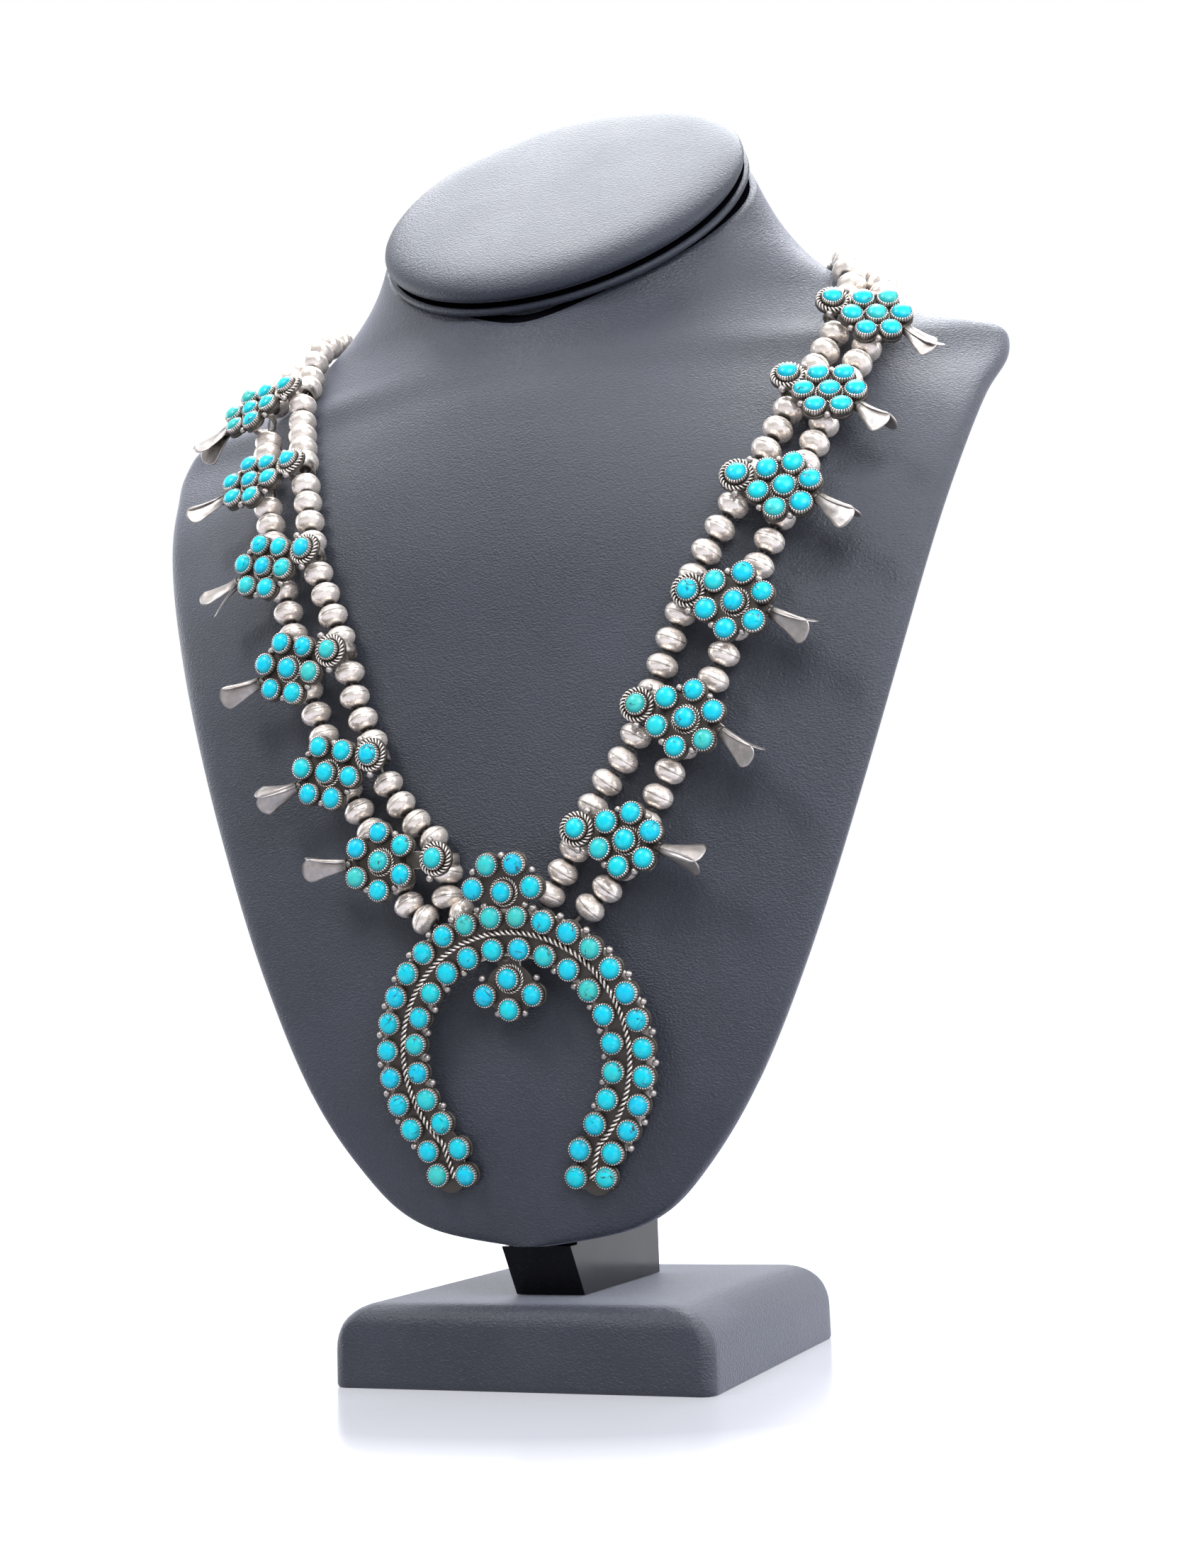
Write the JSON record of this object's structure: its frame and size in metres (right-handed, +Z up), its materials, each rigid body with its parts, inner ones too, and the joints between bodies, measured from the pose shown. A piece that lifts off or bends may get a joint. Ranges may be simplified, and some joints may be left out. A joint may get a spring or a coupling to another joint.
{
  "type": "squash blossom necklace on neck bust stand",
  "caption": "Squash blossom necklace of silver beads and turquoise clusters with a horseshoe naja pendant, lying on a leatherette neck bust stand.",
  "frame": {"origin": "middle of the underside of the stand's base, on the floor it stands on", "axes": "+Z up; the front of the bust and the pendant face -Y; +X is the right side seen from the front"},
  "size_m": [0.248, 0.1148, 0.3609],
  "materials": {
    "leatherette": "satin, fine grain",
    "gloss_black": "gloss",
    "silver": "worn polish",
    "turquoise": "polished",
    "thread": "matte"
  },
  "bodies": {
    "root": {"base": "leatherette", "pedestal": "gloss_black", "bust_torso": "leatherette", "neck_plate": "leatherette", "neck_cap": "leatherette", "blossom_left_1": "silver", "blossom_left_2": "silver", "blossom_left_3": "silver", "blossom_left_4": "silver", "blossom_left_5": "silver", "blossom_left_6": "silver", "blossom_right_1": "silver", "blossom_right_2": "silver", "blossom_right_3": "silver", "blossom_right_4": "silver", "blossom_right_5": "silver", "blossom_right_6": "silver", "stones_left_1": "turquoise", "stones_left_2": "turquoise", "stones_left_3": "turquoise", "stones_left_4": "turquoise", "stones_left_5": "turquoise", "stones_left_6": "turquoise", "stones_right_1": "turquoise", "stones_right_2": "turquoise", "stones_right_3": "turquoise", "stones_right_4": "turquoise", "stones_right_5": "turquoise", "stones_right_6": "turquoise", "naja": "silver", "naja_stones_outer": "turquoise", "naja_stones_inner": "turquoise", "naja_stones_middle": "turquoise", "beads_inner_left": "silver", "beads_outer_left": "silver", "beads_inner_right": "silver", "beads_outer_right": "silver", "thread_inner": "thread", "thread_outer": "thread", "clasp_hook": "silver", "clasp_ring": "silver"}
  },
  "joints": []
}
